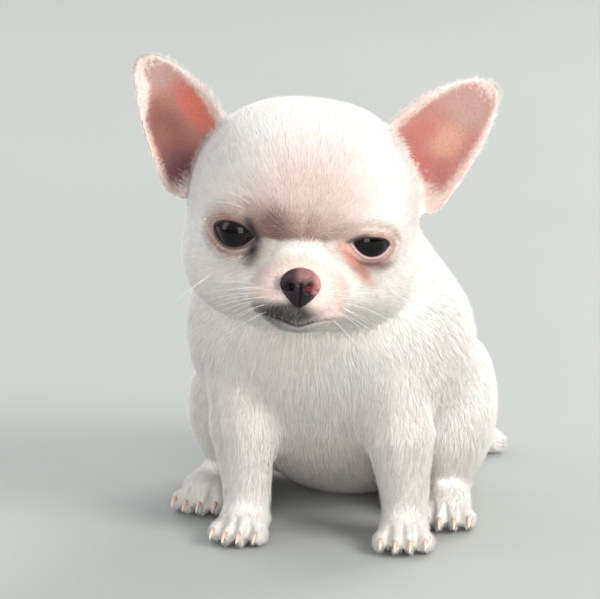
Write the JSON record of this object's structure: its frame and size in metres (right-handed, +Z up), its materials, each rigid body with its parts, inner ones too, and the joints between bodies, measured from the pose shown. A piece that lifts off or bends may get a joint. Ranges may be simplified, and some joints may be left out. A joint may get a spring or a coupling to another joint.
{
  "type": "chihuahua",
  "caption": "Still, life-size model of a sitting chihuahua puppy with a domed head, short muzzle, large upright cupped ears and a short cream coat, resting on its feet, rump and tail.",
  "frame": {"origin": "middle of the footprint's bounding box, on the floor under the puppy", "axes": "+Z up; the chest faces -Y; the puppy's left side is +X; the head is turned 12 degrees towards the left"},
  "size_m": [0.0956, 0.1384, 0.1348],
  "materials": {
    "coat": "short, soft, cream-white fur",
    "ear": "thin pink skin with short pale fur on the back",
    "nose": "dark, moist, finely pebbled",
    "eye": "wet gloss over a very dark brown",
    "claw": "pale horn"
  },
  "bodies": {
    "root": {"head": "coat", "nose": "nose", "eye_left": "eye", "eye_right": "eye", "ear_left": "ear", "ear_right": "ear", "neck": "coat", "torso": "coat", "tail": "coat", "front_leg_left": "coat", "front_leg_right": "coat", "hind_leg_left": "coat", "hind_leg_right": "coat", "claw_front_left_1": "claw", "claw_front_left_2": "claw", "claw_front_left_3": "claw", "claw_front_left_4": "claw", "claw_front_right_1": "claw", "claw_front_right_2": "claw", "claw_front_right_3": "claw", "claw_front_right_4": "claw", "claw_hind_left_1": "claw", "claw_hind_left_2": "claw", "claw_hind_left_3": "claw", "claw_hind_left_4": "claw", "claw_hind_right_1": "claw", "claw_hind_right_2": "claw", "claw_hind_right_3": "claw", "claw_hind_right_4": "claw"}
  },
  "joints": []
}
